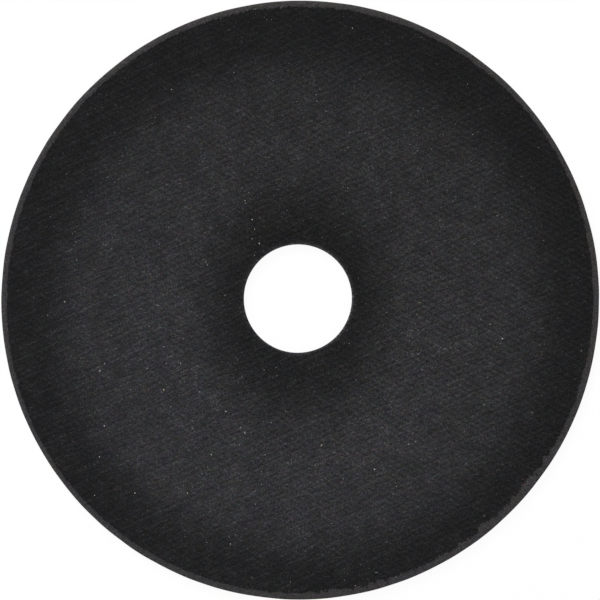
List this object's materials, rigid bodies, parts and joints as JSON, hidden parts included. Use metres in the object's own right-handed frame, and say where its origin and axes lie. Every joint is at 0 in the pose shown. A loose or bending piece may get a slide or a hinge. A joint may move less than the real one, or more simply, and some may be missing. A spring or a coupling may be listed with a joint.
{
  "type": "abrasive disc",
  "caption": "Thin round abrasive fibre disc with a central bore, smooth fibre side up and grain side down.",
  "frame": {"origin": "on the bore's axis, in the plane of the grain side that the disc lies on", "axes": "+Z along the bore's axis, out of the smooth fibre side; +X to the right and +Y up in the picture"},
  "size_m": [0.125, 0.125, 0.0012],
  "materials": {
    "fibre_sheet": "matte",
    "grain_coat": "matte"
  },
  "bodies": {
    "root": {"abrasive_disc": "fibre_sheet"}
  },
  "joints": []
}
